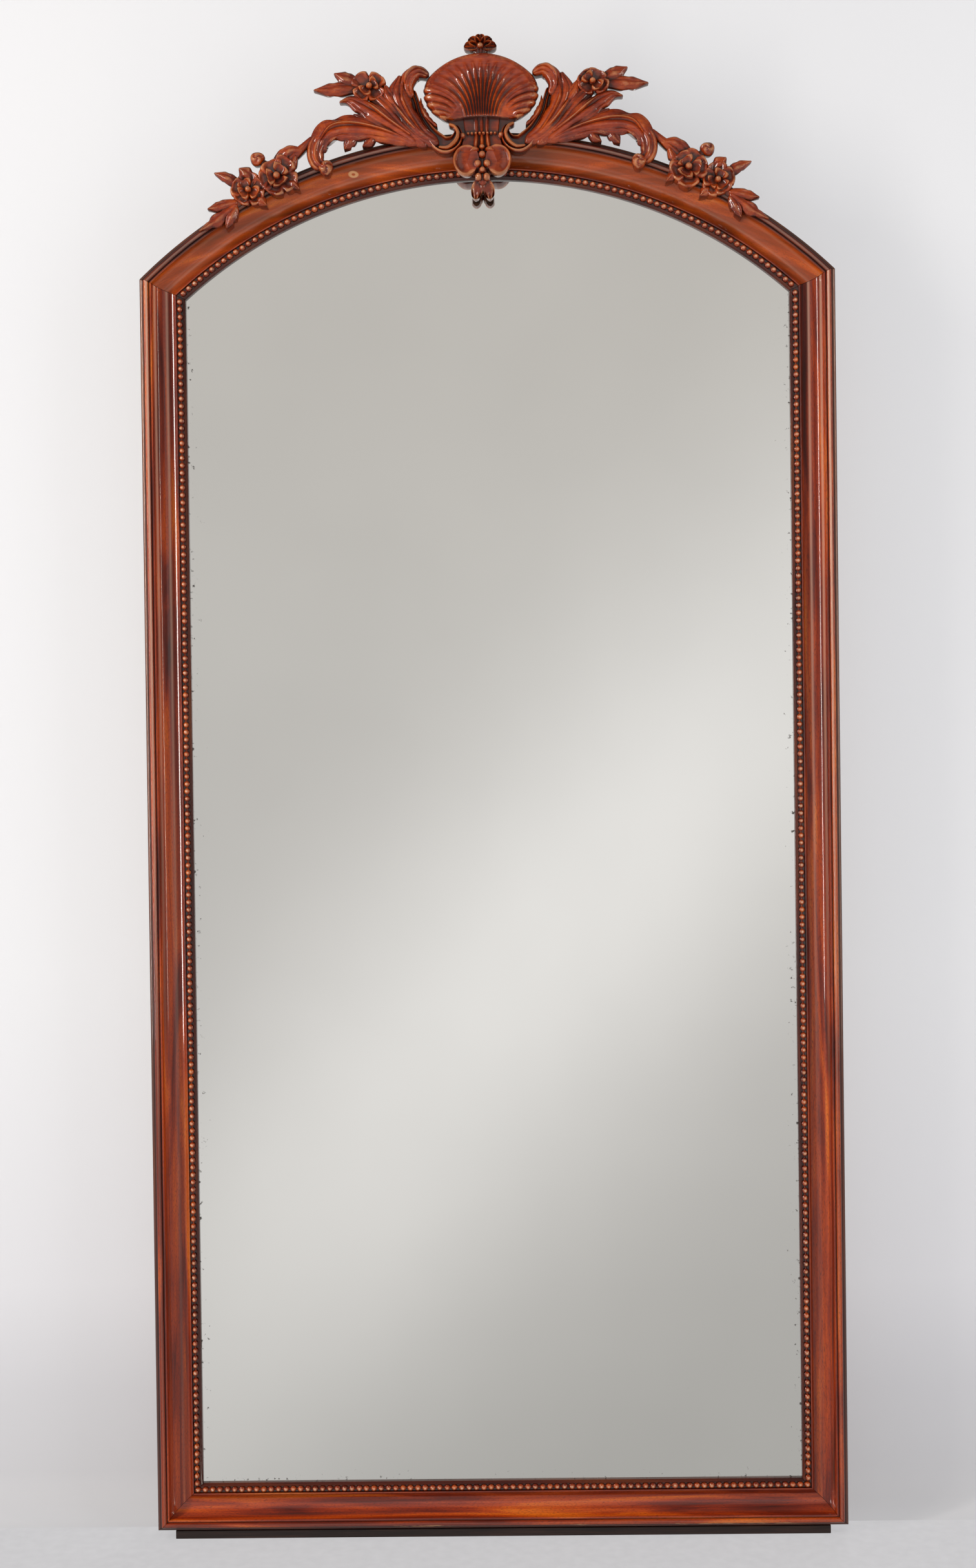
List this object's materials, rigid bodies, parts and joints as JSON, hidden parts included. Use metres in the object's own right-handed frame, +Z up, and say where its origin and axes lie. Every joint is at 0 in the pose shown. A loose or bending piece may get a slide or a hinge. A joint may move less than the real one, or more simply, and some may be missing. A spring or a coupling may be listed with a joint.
{
  "type": "pier mirror",
  "caption": "Tall arched mirror in a moulded, beaded wooden frame with a carved shell crest, leaf scrolls and flower garlands, standing on a low foot batten.",
  "frame": {"origin": "centre of the foot batten's underside, on the floor", "axes": "+Z up; the glass faces -Y; +Y points at the wall; +X is to the right as one looks at the glass"},
  "size_m": [0.99, 0.0721, 2.1344],
  "materials": {
    "polished_mahogany": "french-polished mahogany veneer, glossy",
    "pearl_mahogany": "carved and polished mahogany",
    "carved_mahogany": "carved mahogany, polished, rubbed on its edges",
    "dark_foot": "dark stained, dull",
    "pine": "bare sawn pine, aged",
    "silvered_glass": "old silvered plate, slightly grey, foxed at the edges",
    "steel": "dull steel",
    "brass": "dull yellow brass"
  },
  "bodies": {
    "frame": {"stile_left": "polished_mahogany", "stile_right": "polished_mahogany", "bottom_rail": "polished_mahogany", "arch_left": "polished_mahogany", "arch_right": "polished_mahogany", "foot_batten": "dark_foot", "mirror_plate": "silvered_glass", "glass_block_foot": "pine", "glass_block_left_low": "pine", "glass_block_left_high": "pine", "glass_block_right_low": "pine", "glass_block_right_high": "pine", "glass_block_arch_left": "pine", "glass_block_arch_right": "pine", "backboard_1": "pine", "backboard_2": "pine", "backboard_3": "pine", "crest_block": "pine", "board_screw_1": "steel", "board_screw_2": "steel", "board_screw_3": "steel", "board_screw_4": "steel", "board_screw_5": "steel", "board_screw_6": "steel", "strap_screw_1": "steel", "strap_screw_2": "steel", "strap_screw_3": "steel", "crest_strap": "steel", "pearls_bottom": "pearl_mahogany", "pearls_left": "pearl_mahogany", "pearls_right": "pearl_mahogany", "pearls_arch_left": "pearl_mahogany", "pearls_arch_right": "pearl_mahogany", "crest_finial": "carved_mahogany", "crest_shell": "carved_mahogany", "crest_pendant": "carved_mahogany", "crest_neck": "carved_mahogany", "crest_scroll_left": "carved_mahogany", "crest_scroll_right": "carved_mahogany", "crest_wing_left": "carved_mahogany", "crest_wing_right": "carved_mahogany", "crest_flower_left": "carved_mahogany", "crest_flower_right": "carved_mahogany", "crest_long_leaf_left": "carved_mahogany", "crest_long_leaf_right": "carved_mahogany", "garland_left": "carved_mahogany", "garland_right": "carved_mahogany", "garland_flower_inner_left": "carved_mahogany", "garland_flower_inner_right": "carved_mahogany", "garland_flower_outer_left": "carved_mahogany", "garland_flower_outer_right": "carved_mahogany", "hanger_plate_left": "brass", "hanger_plate_right": "brass", "hanger_screw_left_1": "brass", "hanger_screw_left_2": "brass", "hanger_screw_right_1": "brass", "hanger_screw_right_2": "brass"},
    "ring_left": {"hanger_ring_left": "brass"},
    "ring_right": {"hanger_ring_right": "brass"}
  },
  "joints": [
    {"name": "ring_left_pivot", "type": "hinge", "parent": "frame", "child": "ring_left", "pos_m": [-0.475, 0.0218, 1.42], "axis": [1, 0, 0], "range_deg": [0, 165]},
    {"name": "ring_right_pivot", "type": "hinge", "parent": "frame", "child": "ring_right", "pos_m": [0.475, 0.0218, 1.42], "axis": [1, 0, 0], "range_deg": [0, 165]}
  ]
}
